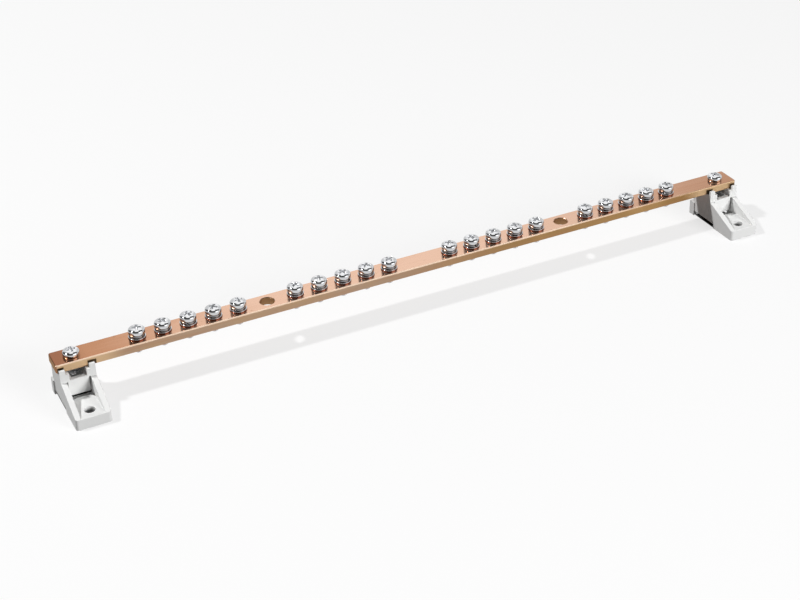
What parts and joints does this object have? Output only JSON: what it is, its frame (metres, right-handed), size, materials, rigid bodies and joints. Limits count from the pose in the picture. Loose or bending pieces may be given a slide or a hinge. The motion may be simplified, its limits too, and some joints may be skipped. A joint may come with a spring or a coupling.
{
  "type": "earth terminal bar",
  "caption": "Flat copper busbar on moulded insulating feet, with rows of screw terminals and plain holes for lugs, for joining protective conductors.",
  "frame": {"origin": "on the mounting surface, midway between the centres of the feet's two fixing holes", "axes": "+X along the bar, +Y from the fixing holes towards the bar, +Z away from the mounting surface"},
  "size_m": [0.447, 0.044, 0.0322],
  "materials": {
    "copper": "bare rolled copper, satin, slightly tarnished",
    "foot_plastic": "moulded light grey thermoplastic, satin",
    "screw_steel": "bright nickel-plated steel",
    "washer_steel": "bright nickel-plated steel, stamped",
    "spring_steel": "plated spring steel",
    "nut_steel": "zinc-plated steel"
  },
  "bodies": {
    "root": {"copper_bar": "copper", "left_foot": "foot_plastic", "right_foot": "foot_plastic", "left_nut": "nut_steel", "right_nut": "nut_steel", "left_end_screw": "screw_steel", "right_end_screw": "screw_steel", "terminal_screw_1": "screw_steel", "terminal_screw_2": "screw_steel", "terminal_screw_3": "screw_steel", "terminal_screw_4": "screw_steel", "terminal_screw_5": "screw_steel", "terminal_screw_6": "screw_steel", "terminal_screw_7": "screw_steel", "terminal_screw_8": "screw_steel", "terminal_screw_9": "screw_steel", "terminal_screw_10": "screw_steel", "terminal_screw_11": "screw_steel", "terminal_screw_12": "screw_steel", "terminal_screw_13": "screw_steel", "terminal_screw_14": "screw_steel", "terminal_screw_15": "screw_steel", "terminal_screw_16": "screw_steel", "terminal_screw_17": "screw_steel", "terminal_screw_18": "screw_steel", "terminal_screw_19": "screw_steel", "terminal_screw_20": "screw_steel", "terminal_washer_1": "washer_steel", "terminal_washer_2": "washer_steel", "terminal_washer_3": "washer_steel", "terminal_washer_4": "washer_steel", "terminal_washer_5": "washer_steel", "terminal_washer_6": "washer_steel", "terminal_washer_7": "washer_steel", "terminal_washer_8": "washer_steel", "terminal_washer_9": "washer_steel", "terminal_washer_10": "washer_steel", "terminal_washer_11": "washer_steel", "terminal_washer_12": "washer_steel", "terminal_washer_13": "washer_steel", "terminal_washer_14": "washer_steel", "terminal_washer_15": "washer_steel", "terminal_washer_16": "washer_steel", "terminal_washer_17": "washer_steel", "terminal_washer_18": "washer_steel", "terminal_washer_19": "washer_steel", "terminal_washer_20": "washer_steel", "spring_washers_1": "spring_steel", "spring_washers_2": "spring_steel", "spring_washers_3": "spring_steel", "spring_washers_4": "spring_steel"}
  },
  "joints": []
}
